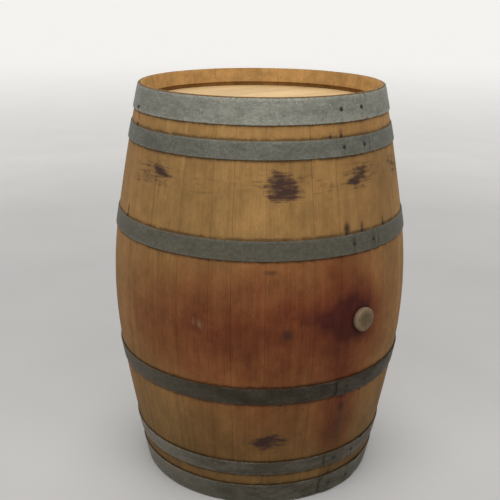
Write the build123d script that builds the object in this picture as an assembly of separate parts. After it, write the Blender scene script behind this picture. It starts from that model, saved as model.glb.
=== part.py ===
from build123d import *
from collections import namedtuple
from itertools import accumulate
from math import degrees, sqrt
import os

# Oak wine barrel of the 225 litre Bordeaux size, in millimetres, standing on its end. +Z runs up its axis, the
# origin is the centre of the ring of stave ends that it stands on, and the bung faces -Y. An angle called phi
# is measured round +Z from -Y, towards +X. The barrel is the same above and below its middle, so everything is
# drawn near the top end, by its depth below that end, and turned over for the bottom.

# ---- Driving dimensions ----
HEIGHT = 950.0
BILGE_RADIUS = 355.0            # outside of the staves at mid height
SHOULDER_RADIUS = 341.6         # outside of the staves where the strong bend of the bilge ends
SHOULDER_REACH = 170.0          # from mid height to there
END_RADIUS = 285.0              # outside of the staves at their ends

# Widths of the staves at the bilge, in order of phi. The first is the wide bung stave.
STAVE_WIDTHS = (136, 82, 96, 60, 88, 72, 104, 66, 79, 91, 55, 86, 76, 84,
                68, 58, 81, 70, 98, 84, 62, 74, 90, 77, 50, 74, 108, 65)
BUNG_STAVE_PHI = 1.3            # middle of the bung stave: the bung is a little to one side of it
WALL = 27.0                     # stave thickness
# The inner face at the end of a stave, as (depth, wall left): the flat end and its bevel, and the smooth hollow
# on both sides of the croze, which runs out to the full wall.
END_ABOVE_CROZE = ((0, 6.5), (34, 20), (38, 17.5))
END_BELOW_CROZE = ((62, 18.5), (95, WALL))
CROZE_DEPTH = 47.0              # the groove that holds the head
CROZE_WIDTH = 6.0
CROZE_LIP_WALL = 17.5
CROZE_WALL = 11.5

HEAD_DEPTH = 44.0               # outer face of the head below the end of the staves
HEAD_THICKNESS = 22.0
HEAD_TONGUE = 6.5               # flat rim that sits in the croze
HEAD_OUTER_BEVEL = 10.0         # from the rim to the outer face
HEAD_INNER_BEVEL = 28.0         # from the rim to the inner face
HEAD_PLAY = 0.1                 # room round the rim in the croze
HEAD_BOARD_WIDTHS = (101, 88, 96, 84, 93, 104)
DOWEL_RADIUS = 4.0
DOWEL_LENGTH = 50.0
DOWEL_PLAY = 0.1
DOWEL_PLACE = 0.6               # where the dowels sit on each half of a joint, as a share from its middle

# Each hoop: its end of the barrel, the depth of its head-side edge, its width, the phi of its lap's middle, the
# distance from a rivet to the nearer end of the lap, the corner radius of its outer end, and the phi of each of
# its nails. Nails stand against a hoop's head-side edge, so it can't creep up. Those of a head hoop go through
# the hoop itself.
Hoop = namedtuple("Hoop", "name end depth width lap_phi rivet_to_end corner nail_phis")
HOOPS = (
    Hoop("top_head_hoop", "top", 1.5, 54.0, 0.1, 14.0, 8.0, (-105.7, 85.3, 173.3)),
    Hoop("top_quarter_hoop", "top", 86.0, 38.0, -0.2, 15.0, 5.0, (-11.5, -6.2, 85.3, 173.3, -104.7)),
    Hoop("top_bilge_hoop", "top", 287.0, 42.0, 0.9, 15.0, 5.0, (-6.7, 0.7, 13.6, 85.3, 173.3, -101.7)),
    Hoop("bottom_bilge_hoop", "bottom", 287.0, 42.0, 0.5, 27.0, 5.0, (-5.2, 4.0, 85.3, 173.3, -127.6)),
    Hoop("bottom_quarter_hoop", "bottom", 86.0, 38.0, 1.4, 27.0, 7.0, (-4.9, 85.3, 173.3, -127.6)),
    Hoop("bottom_head_hoop", "bottom", 1.5, 54.0, 1.7, 27.0, 20.0, (85.3, 173.3, -127.6)),
)
HOOP_THICKNESS = 2.0
HOOP_PLAY = 0.1                 # room between hoop and staves at the hoop's head-side edge
HOOP_FLARE = 1.0                # extra room at its bilge-side edge
LAP_PLAY = 0.1                  # room between the two layers of the lap
LAP_RAMP = 6.0                  # degrees over which the band climbs onto its own other end
RAMP_STEPS = 6
RIVET_SPACING = 59.0
RIVET_RADIUS = 2.5
RIVET_PLAY = 0.05
RIVET_HEAD_RADIUS = 5.0
RIVET_HEAD_HEIGHT = 1.6

NAIL_RADIUS = 1.25
NAIL_LENGTH = 14.0
NAIL_HEAD_RADIUS = 3.4
NAIL_HEAD_HEIGHT = 2.0
NAIL_PLAY = 0.05
NAIL_LIFT = 0.15                # room under a nail's head
NAIL_TO_HOOP = 0.3              # room between a nail's head and the hoop's edge
HEAD_HOOP_NAIL_DEPTH = 46.0

BUNG_Z = 468.0                  # height of the bung's axis, 7 mm below the barrel's middle
BUNG_HOLE_RADIUS = 27.0         # at the outside of the bung stave
BUNG_TAPER = 1 / 9              # fall of radius per length, of hole and bung
BUNG_PLAY = 0.35
BUNG_PROUD = 12.0               # how far the bung stands out of the bilge
BUNG_LENGTH = 44.0
BUNG_CHAMFER_WIDTH = 4.5
BUNG_CHAMFER_HEIGHT = 2.5

# ---- Worked out from those ----
MIDDLE = HEIGHT / 2
SHOULDER_DEPTH = MIDDLE - SHOULDER_REACH
LAP_RISE = HOOP_THICKNESS + LAP_PLAY
# The outer curve is an arc through the bilge and both shoulders, and an arc tangent to it on to each end.
MIDDLE_DROP = BILGE_RADIUS - SHOULDER_RADIUS
MIDDLE_ARC = (SHOULDER_REACH**2 + MIDDLE_DROP**2) / (2 * MIDDLE_DROP)
LEAN_SIN = SHOULDER_REACH / MIDDLE_ARC
LEAN_COS = sqrt(1 - LEAN_SIN**2)
END_DROP = SHOULDER_RADIUS - END_RADIUS
END_ARC = (SHOULDER_DEPTH**2 + END_DROP**2) / (2 * (END_DROP * LEAN_COS - SHOULDER_DEPTH * LEAN_SIN))


def outer_radius(depth):
    """Radius of the staves' outer face at a depth below the top end, as far as the bilge."""
    reach = MIDDLE - depth
    if reach <= SHOULDER_REACH:
        return BILGE_RADIUS - MIDDLE_ARC + sqrt(MIDDLE_ARC**2 - reach**2)
    centre_radius = SHOULDER_RADIUS - END_ARC * LEAN_COS
    centre_reach = SHOULDER_REACH - END_ARC * LEAN_SIN
    return centre_radius + sqrt(END_ARC**2 - (reach - centre_reach) ** 2)


def point(depth, wall=0.0):
    """A point of the plane of phi 90, at a depth below the top end, and a wall inside the outer face."""
    return Vector(outer_radius(depth) - wall, 0, HEIGHT - depth)


def surface_plane(depth):
    """A plane on the outer face at phi 90, its z axis straight out of the wood."""
    slope = outer_radius(depth + 0.5) - outer_radius(depth - 0.5)
    return Plane(origin=point(depth), x_dir=(0, 1, 0), z_dir=(1, 0, slope))


def turned_over(shape):
    """The shape with the barrel turned upside down and its front still in front."""
    return Pos(0, 0, MIDDLE) * Rot(0, 180, 0) * Pos(0, 0, -MIDDLE) * shape


def place(shape, phi, end):
    """Brings a shape drawn near the top at phi 90 to its phi, at the top or the bottom end."""
    if end == "top":
        return Rot(0, 0, phi - 90) * shape
    return turned_over(Rot(0, 0, -phi - 90) * shape)


# ---- Staves ----
def face_curve(start_depth, wall):
    """The long curve of one face of a stave, from a depth below the top end to as far above the bottom end."""
    def upper(depth):
        return point(depth, wall)

    def lower(depth):
        return Vector(upper(depth).X, 0, depth)

    between = (start_depth + SHOULDER_DEPTH) / 2
    return [
        ThreePointArc(upper(start_depth), upper(between), upper(SHOULDER_DEPTH)),
        ThreePointArc(upper(SHOULDER_DEPTH), upper(MIDDLE), lower(SHOULDER_DEPTH)),
        ThreePointArc(lower(SHOULDER_DEPTH), lower(between), lower(start_depth)),
    ]


def stave_section():
    """The long section of a stave, the same for all of them."""
    croze_radius = outer_radius(CROZE_DEPTH + CROZE_WIDTH / 2) - CROZE_WALL
    croze_end = CROZE_DEPTH + CROZE_WIDTH
    corners = [
        point(0),
        *[point(depth, wall) for depth, wall in END_ABOVE_CROZE],
        point(CROZE_DEPTH, CROZE_LIP_WALL),
        Vector(croze_radius, 0, HEIGHT - CROZE_DEPTH),
        Vector(croze_radius, 0, HEIGHT - croze_end),
        point(croze_end, CROZE_LIP_WALL),
        *[point(depth, wall) for depth, wall in END_BELOW_CROZE],
    ]
    top_end = Polyline(*corners)
    bottom_end = Polyline(*[Vector(c.X, 0, HEIGHT - c.Z) for c in corners])
    inner_start = END_BELOW_CROZE[-1][0]
    return make_face([top_end, bottom_end, *face_curve(0, 0), *face_curve(inner_start, WALL)])


def stave_spans():
    """The first and last phi of each stave."""
    turn = 360 / sum(STAVE_WIDTHS)
    ends = [BUNG_STAVE_PHI + turn * (end - STAVE_WIDTHS[0] / 2) for end in accumulate(STAVE_WIDTHS)]
    return [(end - turn * width, end) for end, width in zip(ends, STAVE_WIDTHS)]


def make_staves(nail_holes):
    """All the staves. nail_holes is a list of (phi, hole), and each stave gets its own. The first is bored."""
    section = stave_section()
    staves = {}
    for number, (start, end) in enumerate(stave_spans(), start=1):
        stave = place(revolve(section, Axis.Z, end - start), start, "top")
        for phi, hole in nail_holes:
            if (phi - start) % 360 < end - start:
                stave -= hole
        staves[f"stave_{number:02d}"] = stave
    staves["bung_stave"] = staves.pop("stave_01") - bung_hole()
    return staves


# ---- Heads ----
def head_disc():
    """The whole top head, thinned to the croze at its rim, and the radius of the rim."""
    radius = outer_radius(CROZE_DEPTH + CROZE_WIDTH / 2) - CROZE_WALL - 3 * HEAD_PLAY
    outer_face = HEIGHT - HEAD_DEPTH
    inner_face = outer_face - HEAD_THICKNESS
    rim_top = HEIGHT - CROZE_DEPTH - HEAD_PLAY
    rim_bottom = HEIGHT - CROZE_DEPTH - CROZE_WIDTH + HEAD_PLAY
    section = make_face(Polyline(
        (0, 0, outer_face),
        (radius - HEAD_OUTER_BEVEL, 0, outer_face),
        (radius - HEAD_TONGUE, 0, rim_top),
        (radius, 0, rim_top),
        (radius, 0, rim_bottom),
        (radius - HEAD_TONGUE, 0, rim_bottom),
        (radius - HEAD_INNER_BEVEL, 0, inner_face),
        (0, 0, inner_face),
        close=True,
    ))
    return revolve(section, Axis.Z), radius


def joint_dowels(y, chord, z, play):
    """The two dowels across the joint at y, whose length is chord. With play, they are their own holes."""
    dowel = Rot(90, 0, 0) * Cylinder(DOWEL_RADIUS + play, DOWEL_LENGTH + 2 * play)
    return [Pos(side * DOWEL_PLACE * chord / 2, y, z) * dowel for side in (-1, 1)]


def make_head(end):
    """The boards of one head, with their joints along X, and the dowels between them."""
    disc, radius = head_disc()
    z = HEIGHT - HEAD_DEPTH - HEAD_THICKNESS / 2
    scale = 2 * radius / sum(HEAD_BOARD_WIDTHS)
    joints = [scale * edge - radius for edge in accumulate(HEAD_BOARD_WIDTHS[:-1])]
    dowels = []
    holes = {}
    for y in joints:
        chord = 2 * sqrt(radius**2 - y**2)
        dowels += joint_dowels(y, chord, z, 0)
        holes[y] = joint_dowels(y, chord, z, DOWEL_PLAY)
    nodes = {}
    for number, (y0, y1) in enumerate(zip([-radius] + joints, joints + [radius]), start=1):
        board = disc & Pos(0, (y0 + y1) / 2, z) * Box(3 * radius, y1 - y0, 2 * HEAD_THICKNESS)
        for hole in holes.get(y0, []) + holes.get(y1, []):
            board -= hole
        nodes[f"{end}_head_board_{number}"] = board
    nodes[f"{end}_head_dowels"] = Compound(dowels)
    if end == "bottom":
        return {name: turned_over(shape) for name, shape in nodes.items()}
    return nodes


# ---- Hoops ----
def band_plane(hoop):
    """A plane at the middle of a hoop's inner face at phi 90: x along the band, y up it, z out through it."""
    head_edge = point(hoop.depth) + Vector(HOOP_PLAY, 0, 0)
    bilge_edge = point(hoop.depth + hoop.width) + Vector(HOOP_PLAY + HOOP_FLARE, 0, 0)
    along = Vector(0, 1, 0)
    return Plane(origin=(head_edge + bilge_edge) / 2, x_dir=along, z_dir=along.cross(head_edge - bilge_edge))


def band_section(hoop, rise):
    """The section of a hoop's band at phi 90, risen off the staves."""
    section = Rot(0, 90, 0) * Rectangle(HOOP_THICKNESS, hoop.width)
    return band_plane(hoop) * Pos(0, 0, rise + HOOP_THICKNESS / 2) * section


def corner_waste(hoop):
    """What rounds off both corners of the lap's outer end, in the band's plane, with the end at x 0."""
    high = 4 * LAP_RISE
    low = (Align.MIN, Align.MIN, Align.CENTER)
    square = Box(hoop.corner + 1, hoop.corner + 1, high, align=low)
    waste = square - Cylinder(hoop.corner, 2 * high)
    head_side = Pos(-hoop.corner, hoop.width / 2 - hoop.corner, 0) * waste
    return head_side + mirror(head_side, Plane.XZ)


def rivet():
    """A rivet along z, its inner end at z 0: a shank through both layers of a lap, and a low domed head."""
    base = (Align.CENTER, Align.CENTER, Align.MIN)
    grip = HOOP_THICKNESS + LAP_RISE
    dome_radius = (RIVET_HEAD_RADIUS**2 + RIVET_HEAD_HEIGHT**2) / (2 * RIVET_HEAD_HEIGHT)
    ball = Pos(0, 0, grip + RIVET_HEAD_HEIGHT - dome_radius) * Sphere(dome_radius)
    head = ball & Pos(0, 0, grip) * Cylinder(2 * RIVET_HEAD_RADIUS, dome_radius, align=base)
    return head + Cylinder(RIVET_RADIUS, grip, align=base)


def make_hoop(hoop):
    """A hoop and its two rivets, drawn near the top with the middle of the lap at phi 90."""
    plane = band_plane(hoop)
    degree_per_mm = degrees(1 / plane.origin.X)
    rivet_turn = degree_per_mm * RIVET_SPACING / 2
    half_lap = rivet_turn + degree_per_mm * hoop.rivet_to_end
    # The band starts under the lap, goes once round, climbs the ramp, and lies on its own start.
    ring = Rot(0, 0, -half_lap) * revolve(band_section(hoop, 0), Axis.Z, 360 - LAP_RAMP)
    lap = Rot(0, 0, -half_lap) * revolve(band_section(hoop, LAP_RISE), Axis.Z, 2 * half_lap)
    lap -= Rot(0, 0, half_lap) * (plane * corner_waste(hoop))
    sections = []
    for step in range(RAMP_STEPS + 1):
        share = step / RAMP_STEPS
        rise = LAP_RISE * share**2 * (3 - 2 * share)
        sections.append(Rot(0, 0, LAP_RAMP * (share - 1) - half_lap) * band_section(hoop, rise))
    band = ring + loft(sections, ruled=True) + lap
    rivets = []
    for turn in (-rivet_turn, rivet_turn):
        band -= Rot(0, 0, turn) * (plane * Cylinder(RIVET_RADIUS + RIVET_PLAY, 6 * LAP_RISE))
        rivets.append(Rot(0, 0, turn) * (plane * rivet()))
    return band, Compound(rivets)


# ---- Nails ----
def nail():
    """A nail along z, the underside of its head at z 0."""
    head = Cylinder(NAIL_HEAD_RADIUS, NAIL_HEAD_HEIGHT, align=(Align.CENTER, Align.CENTER, Align.MIN))
    return head + Cylinder(NAIL_RADIUS, NAIL_LENGTH, align=(Align.CENTER, Align.CENTER, Align.MAX))


def nail_hole():
    """The hole of that nail."""
    return Cylinder(NAIL_RADIUS + NAIL_PLAY, 2 * NAIL_LENGTH + 2 * NAIL_PLAY)


def is_head_hoop(hoop):
    """Whether this is one of the two hoops at the very ends."""
    return hoop.name.endswith("head_hoop")


def nail_seat(hoop):
    """Where a nail of this hoop goes, drawn near the top at phi 90."""
    if is_head_hoop(hoop):
        lift = HOOP_PLAY + HOOP_FLARE + HOOP_THICKNESS + NAIL_LIFT
        return surface_plane(HEAD_HOOP_NAIL_DEPTH) * Pos(0, 0, lift)
    return surface_plane(hoop.depth - NAIL_HEAD_RADIUS - NAIL_TO_HOOP) * Pos(0, 0, NAIL_LIFT)


# ---- Bung ----
def bung_hole():
    """The tapered hole through the bung stave, widest outside."""
    mouth = BUNG_HOLE_RADIUS + BUNG_TAPER * WALL
    length = 3 * WALL
    cone = Cone(mouth - BUNG_TAPER * length, mouth, length, align=(Align.CENTER, Align.CENTER, Align.MAX))
    return Pos(0, -BILGE_RADIUS - WALL, BUNG_Z) * Rot(90, 0, 0) * cone


def make_bung():
    """The tapered bung in its hole, with a chamfer round its outer end."""
    radius = BUNG_HOLE_RADIUS - BUNG_PLAY + BUNG_TAPER * BUNG_PROUD
    section = make_face(Polyline(
        (0, 0, 0),
        (radius - BUNG_CHAMFER_WIDTH, 0, 0),
        (radius - BUNG_TAPER * BUNG_CHAMFER_HEIGHT, 0, -BUNG_CHAMFER_HEIGHT),
        (radius - BUNG_TAPER * BUNG_LENGTH, 0, -BUNG_LENGTH),
        (0, 0, -BUNG_LENGTH),
        close=True,
    ))
    return Pos(0, -BILGE_RADIUS - BUNG_PROUD, BUNG_Z) * Rot(90, 0, 0) * revolve(section, Axis.Z)


# ---- Assembly ----
def make_fastened_hoops():
    """The hoops, their rivets and their nails as nodes, and each nail's (phi, hole)."""
    nodes = {}
    nails = {"top": [], "bottom": []}
    holes = []
    for hoop in HOOPS:
        band, rivets = [place(shape, hoop.lap_phi, hoop.end) for shape in make_hoop(hoop)]
        for phi in hoop.nail_phis:
            hole = place(nail_seat(hoop) * nail_hole(), phi, hoop.end)
            nails[hoop.end].append(place(nail_seat(hoop) * nail(), phi, hoop.end))
            holes.append((phi, hole))
            if is_head_hoop(hoop):
                band -= hole
        nodes[hoop.name] = band
        nodes[f"{hoop.name}_rivets"] = rivets
    for end, solids in nails.items():
        nodes[f"{end}_hoop_nails"] = Compound(solids)
    return nodes, holes


def main():
    """Writes every piece of the barrel to its own file."""
    nodes, nail_holes = make_fastened_hoops()
    nodes.update(make_staves(nail_holes))
    nodes.update(make_head("top"))
    nodes.update(make_head("bottom"))
    nodes["bung"] = make_bung()
    os.makedirs("parts", exist_ok=True)
    for name, shape in nodes.items():
        export_step(shape, f"parts/{name}.step")
    print(len(nodes), "nodes")


main()
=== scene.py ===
import math
from collections import namedtuple

import bmesh
import bpy
import numpy as np
from mathutils import Matrix, Vector


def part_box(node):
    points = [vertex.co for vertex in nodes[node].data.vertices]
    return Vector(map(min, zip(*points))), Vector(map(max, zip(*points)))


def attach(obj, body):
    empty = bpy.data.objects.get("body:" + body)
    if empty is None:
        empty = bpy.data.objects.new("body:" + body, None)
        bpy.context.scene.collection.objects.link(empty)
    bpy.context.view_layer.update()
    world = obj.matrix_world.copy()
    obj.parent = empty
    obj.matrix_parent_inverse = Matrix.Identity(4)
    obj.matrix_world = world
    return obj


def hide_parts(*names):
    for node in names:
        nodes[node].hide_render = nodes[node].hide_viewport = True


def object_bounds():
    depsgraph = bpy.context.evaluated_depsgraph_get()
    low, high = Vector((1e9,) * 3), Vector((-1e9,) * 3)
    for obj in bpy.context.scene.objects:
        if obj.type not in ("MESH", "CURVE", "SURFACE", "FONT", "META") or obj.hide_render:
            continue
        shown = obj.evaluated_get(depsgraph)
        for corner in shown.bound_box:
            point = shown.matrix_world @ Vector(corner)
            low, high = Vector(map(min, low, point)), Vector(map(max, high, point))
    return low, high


# The looks of the oak wine barrel, in metres, in the CAD frame. It stands on z 0 round the Z axis, and its
# bung faces -Y. phi is an angle in degrees round +Z from -Y towards +X.

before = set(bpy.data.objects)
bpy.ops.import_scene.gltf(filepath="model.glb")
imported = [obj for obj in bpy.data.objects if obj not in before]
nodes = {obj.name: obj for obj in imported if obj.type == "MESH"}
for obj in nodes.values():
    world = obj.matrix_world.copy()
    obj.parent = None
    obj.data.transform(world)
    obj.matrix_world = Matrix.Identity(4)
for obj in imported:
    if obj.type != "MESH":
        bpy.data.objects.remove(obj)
cad_low, cad_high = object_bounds()

MM = 0.001
HEIGHT = cad_high.z - cad_low.z
MIDDLE = HEIGHT / 2
BUNG_Z = sum(corner.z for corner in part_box("bung")) / 2
dice = np.random.default_rng(225)

# ---- What a stave's section is made of, by depth below the nearer end ----
CHIME_DEPTH = 34 * MM           # the bevel inside the end of a stave
HOWEL_DEPTH = 95 * MM           # the smooth hollow round the croze
ROW_STEP = 5 * MM               # between the rows of a stave's outer face
INNER_ROW_STEP = 20 * MM
COLUMN_STEP = 5 * MM
SEAM_EDGE = (0.0, 0.3 * MM, 0.65 * MM, 1.1 * MM)    # columns over the eased edge of a stave
SEAM_DEPTH = 0.35 * MM          # how far that edge is eased back
SEAM_GAP = 0.03 * MM            # left between a stave and the seam's middle
STAVE_STEP = 0.3 * MM           # most that a stave sits inside its neighbours
STAVE_TILT = 0.15 * MM          # half the most that one side of a stave sits inside its other side
STAVE_WAVE = 0.08 * MM          # half the most that waves sink its face
END_STEP = 0.35 * MM            # most that the end of a stave falls short
HOLE_PATCH = 42 * MM            # half the width of the part of the bung stave meshed round its hole
PATCH_RINGS = 6
CORNER = 2.5 * MM               # below an end, where the even rows of a stave's faces stop
END_EASE = 0.8 * MM             # rounding of the corners at a stave's end and at the mouth of the hole
END_ROW_STEP = 6 * MM
TOUCH = 0.01 * MM               # closer than this, two points are the same

# ---- Hoops: the corner radius of each one's outer end ----
HOOP_CORNERS = {"top_head_hoop": 8 * MM, "top_quarter_hoop": 5 * MM, "top_bilge_hoop": 5 * MM,
                "bottom_bilge_hoop": 5 * MM, "bottom_quarter_hoop": 7 * MM, "bottom_head_hoop": 20 * MM}
LAP_RISE = 2.1 * MM             # how far the lap's outer layer stands over the inner one's place
LAP_RAMP = 6.0                  # degrees over which a band climbs onto its own start
HOOP_EDGE = 0.6 * MM            # rounding of a band's long edges
HOOP_ROWS = 330
RIVET_ASIDE = 29.5 * MM         # from the middle of a lap to each of its rivets


# ---- Numbers ----
def smoothstep(low, high, value):
    """0 below low, 1 above high, smooth between them."""
    share = np.clip((value - low) / (high - low), 0, 1)
    return share * share * (3 - 2 * share)


def through(known_x, known_y, x):
    """A smooth curve through the known points, read at x."""
    slopes = np.gradient(known_y, known_x)
    i = np.clip(np.searchsorted(known_x, x) - 1, 0, len(known_x) - 2)
    width = known_x[i + 1] - known_x[i]
    t = (x - known_x[i]) / width
    first = known_y[i] * (1 + 2 * t) + slopes[i] * width * t
    second = known_y[i + 1] * (3 - 2 * t) + slopes[i + 1] * width * (t - 1)
    return first * (1 - t) ** 2 + second * t**2


def on_circle(radius, phi):
    """x and y at a radius and phi."""
    turn = np.radians(phi)
    return radius * np.sin(turn), -radius * np.cos(turn)


def turned_from(phi, start):
    """How far phi is round from a start, from -180 to 180."""
    return (phi - start + 180) % 360 - 180


def bell(share):
    """1 at 0, falling off smoothly on both sides."""
    return np.exp(-(share**2))


def cad_polar(node):
    """The vertices of a CAD node as radius, phi and z, with phi running on past 180 where the node does."""
    mesh = nodes[node].data
    points = np.empty(3 * len(mesh.vertices))
    mesh.vertices.foreach_get("co", points)
    x, y, z = points.reshape(-1, 3).T
    middle = math.degrees(math.atan2(x.mean(), -y.mean()))
    phi = turned_from(np.degrees(np.arctan2(x, -y)), middle) + middle
    return np.hypot(x, y), phi, z


# ---- Meshes ----
def make_piece(name, points, faces, finishes, finish_of_face, fields, body, replaced):
    """A closed mesh with its materials and its named fields of three numbers a vertex, riding on a body."""
    mesh = bpy.data.meshes.new(name)
    mesh.from_pydata([tuple(p) for p in points], [], [tuple(f) for f in faces])
    for finish in finishes:
        mesh.materials.append(finish)
    mesh.polygons.foreach_set("material_index", np.asarray(finish_of_face, np.int32))
    for field, values in fields.items():
        attribute = mesh.attributes.new(field, "FLOAT_VECTOR", "POINT")
        attribute.data.foreach_set("vector", np.asarray(values, np.float32).ravel())
    shaped = bmesh.new()
    shaped.from_mesh(mesh)
    loose = [v for v in shaped.verts if not v.link_faces]
    bmesh.ops.delete(shaped, geom=loose, context="VERTS")
    bmesh.ops.recalc_face_normals(shaped, faces=shaped.faces)
    shaped.to_mesh(mesh)
    shaped.free()
    mesh.polygons.foreach_set("use_smooth", [True] * len(mesh.polygons))
    mesh.set_sharp_from_angle(angle=math.radians(38))
    piece = bpy.data.objects.new(name, mesh)
    bpy.context.scene.collection.objects.link(piece)
    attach(piece, body)
    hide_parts(*replaced)
    return piece


def grid_faces(rows, columns, closed):
    """The quads between the points of a grid, whose rows run on one after another."""
    quads = []
    for i in range(rows if closed else rows - 1):
        below = i * columns
        above = (i + 1) % rows * columns
        for j in range(columns - 1):
            quads.append((below + j, below + j + 1, above + j + 1, above + j))
    return quads


def tube_faces(rows, around):
    """The quads of a tube between its rows of points, each of which closes on itself."""
    quads = []
    for i in range(rows - 1):
        for j in range(around):
            k = (j + 1) % around
            quads.append((i * around + j, i * around + k, (i + 1) * around + k, (i + 1) * around + j))
    return quads


# ---- Materials ----
class Paint:
    """One procedural material, built node by node. A value is a number, a colour or the output of a node."""

    def __init__(self, name):
        self.material = bpy.data.materials.new(name)
        self.material.use_nodes = True
        self.tree = self.material.node_tree
        self.shader = self.tree.nodes["Principled BSDF"]

    def node(self, kind, **settings):
        made = self.tree.nodes.new(kind)
        for setting, value in settings.items():
            setattr(made, setting, value)
        return made

    def feed(self, value, socket):
        if isinstance(value, bpy.types.NodeSocket):
            self.tree.links.new(value, socket)
        elif isinstance(value, tuple) and socket.type == "RGBA":
            socket.default_value = (*value, 1.0)
        else:
            socket.default_value = value

    def math(self, operation, a, b=0.0, clamp=False):
        made = self.node("ShaderNodeMath", operation=operation, use_clamp=clamp)
        self.feed(a, made.inputs[0])
        self.feed(b, made.inputs[1])
        return made.outputs[0]

    def add(self, *values):
        total = values[0]
        for value in values[1:]:
            total = self.math("ADD", total, value)
        return total

    def times(self, *values):
        product = values[0]
        for value in values[1:]:
            product = self.math("MULTIPLY", product, value)
        return product

    def span(self, value, low, high, to_low=0.0, to_high=1.0):
        """The value's place between low and high, moved to to_low..to_high and kept within them."""
        made = self.node("ShaderNodeMapRange", interpolation_type="SMOOTHSTEP")
        for number, socket in zip((value, low, high, to_low, to_high), made.inputs):
            self.feed(number, socket)
        return made.outputs[0]

    def field(self, name):
        """The vector of a field of the mesh."""
        return self.node("ShaderNodeAttribute", attribute_name=name).outputs["Vector"]

    def split(self, vector):
        made = self.node("ShaderNodeSeparateXYZ")
        self.feed(vector, made.inputs[0])
        return made.outputs

    def stretch(self, vector, scale, shift=(0.0, 0.0, 0.0)):
        made = self.node("ShaderNodeVectorMath", operation="MULTIPLY_ADD")
        self.feed(vector, made.inputs[0])
        self.feed(scale, made.inputs[1])
        self.feed(shift, made.inputs[2])
        return made.outputs[0]

    def noise(self, vector, scale, detail=3.0, rough=0.5, distortion=0.0, shift=(0.0, 0.0, 0.0)):
        """Noise at one scale, or at a scale for each direction."""
        made = self.node("ShaderNodeTexNoise")
        even = not isinstance(scale, tuple)
        self.feed(vector if even else self.stretch(vector, scale, shift), made.inputs["Vector"])
        made.inputs["Scale"].default_value = scale if even else 1.0
        made.inputs["Detail"].default_value = detail
        made.inputs["Roughness"].default_value = rough
        made.inputs["Distortion"].default_value = distortion
        return made.outputs[0]

    def cells(self, vector, scale=1.0, feature="F1"):
        made = self.node("ShaderNodeTexVoronoi", feature=feature)
        self.feed(vector, made.inputs["Vector"])
        made.inputs["Scale"].default_value = scale
        return made.outputs

    def ramp(self, value, *stops):
        """The colour at a value, between stops of (place, colour)."""
        made = self.node("ShaderNodeValToRGB")
        self.feed(value, made.inputs[0])
        colours = made.color_ramp.elements
        while len(colours) < len(stops):
            colours.new(0.5)
        for element, (place, colour) in zip(colours, stops):
            element.position = place
            element.color = (*colour, 1.0)
        return made.outputs[0]

    def mix(self, share, a, b, blend="MIX"):
        made = self.node("ShaderNodeMix", data_type="RGBA", blend_type=blend)
        self.feed(share, made.inputs[0])
        self.feed(a, made.inputs[6])
        self.feed(b, made.inputs[7])
        return made.outputs[2]

    def dim(self, colour, level):
        """The colour times a level."""
        made = self.node("ShaderNodeVectorMath", operation="SCALE")
        self.feed(colour, made.inputs[0])
        self.feed(level, made.inputs["Scale"])
        return made.outputs[0]

    def vary(self, colour, noise, at_low, at_high):
        """The colour times a level that follows a noise."""
        return self.dim(colour, self.span(noise, 0.3, 0.7, at_low, at_high))

    def shade(self, colour, amount, least):
        """The colour, dimmed as the amount rises from 0 to 1, down to the least level."""
        return self.dim(colour, self.span(amount, 0.0, 1.0, 1.0, least))

    def finish(self, colour, roughness, height, distance, metallic=0.0, specular=0.5):
        """Feeds the shader. height is a value that raises the surface by up to a distance."""
        self.feed(colour, self.shader.inputs["Base Color"])
        self.feed(roughness, self.shader.inputs["Roughness"])
        self.feed(metallic, self.shader.inputs["Metallic"])
        self.shader.inputs["Specular IOR Level"].default_value = specular
        bump = self.node("ShaderNodeBump")
        bump.inputs["Distance"].default_value = distance
        self.feed(height, bump.inputs["Height"])
        self.feed(bump.outputs[0], self.shader.inputs["Normal"])
        return self.material


def oak_grain(paint, grain):
    """Quarter-sawn oak on a field of (across, along, through): streaks, lines, fibres, flecks and pores."""
    wander = paint.noise(grain, (12.0, 1.5, 12.0), detail=2.0)
    shift = paint.node("ShaderNodeCombineXYZ")
    paint.feed(paint.times(wander, 0.014), shift.inputs[0])
    moved = paint.node("ShaderNodeVectorMath", operation="ADD")
    paint.feed(grain, moved.inputs[0])
    paint.feed(shift.outputs[0], moved.inputs[1])
    line = moved.outputs[0]
    broad = paint.noise(line, (75.0, 1.1, 75.0), detail=3.0, rough=0.6)
    growth = paint.noise(line, (360.0, 2.2, 360.0), detail=2.0, rough=0.6)
    fibre = paint.noise(line, (1100.0, 18.0, 1100.0), detail=3.0, rough=0.65)
    flecks = paint.noise(grain, (75.0, 280.0, 75.0), detail=2.0, distortion=0.6)
    pores = paint.noise(line, (1900.0, 70.0, 1900.0), shift=(3.0, 7.0, 1.0), detail=1.0)
    return broad, growth, fibre, paint.span(flecks, 0.60, 0.70), paint.span(pores, 0.60, 0.72)


def wood_height(paint, growth, fibre, fleck, pores):
    """How the surface of weathered oak stands up: soft lines worn down, pores open."""
    raised = paint.add(paint.times(growth, 0.35), paint.times(fibre, 0.5), paint.times(fleck, 0.08))
    return paint.math("SUBTRACT", raised, paint.times(pores, 0.45))


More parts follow.
